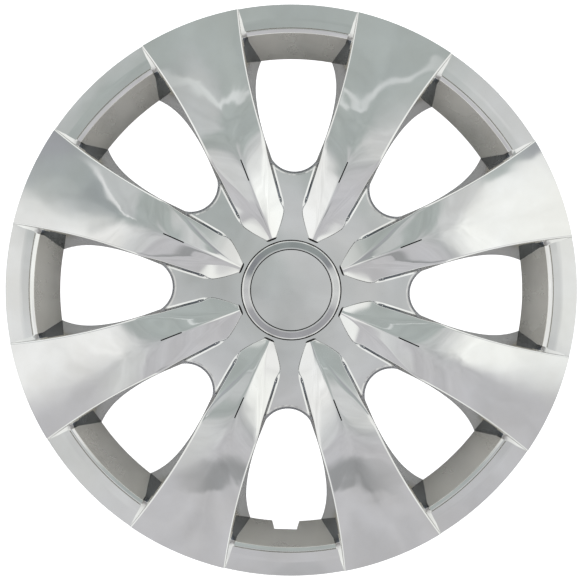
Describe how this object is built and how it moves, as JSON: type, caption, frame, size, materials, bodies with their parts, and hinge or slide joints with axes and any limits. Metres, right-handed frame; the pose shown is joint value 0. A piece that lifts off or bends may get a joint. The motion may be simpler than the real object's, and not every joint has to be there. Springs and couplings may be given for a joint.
{
  "type": "hubcap",
  "caption": "Round chrome-plated push-fit wheel cover with broad ridged spokes, open windows between them, a plain raised centre disc, and snap legs with a wire ring behind the rim",
  "frame": {"origin": "middle of the plane on which the leg ends rest", "axes": "+Z is the wheel axis and points out of the front face; -Y points to the window with the valve notch"},
  "size_m": [0.425, 0.425, 0.0465],
  "materials": {
    "chrome_plating": "bright chrome plating on moulded ABS plastic",
    "spring_steel": "zinc-plated spring steel wire"
  },
  "bodies": {
    "root": {"wheel_cover": "chrome_plating", "retention_ring": "spring_steel"}
  },
  "joints": []
}
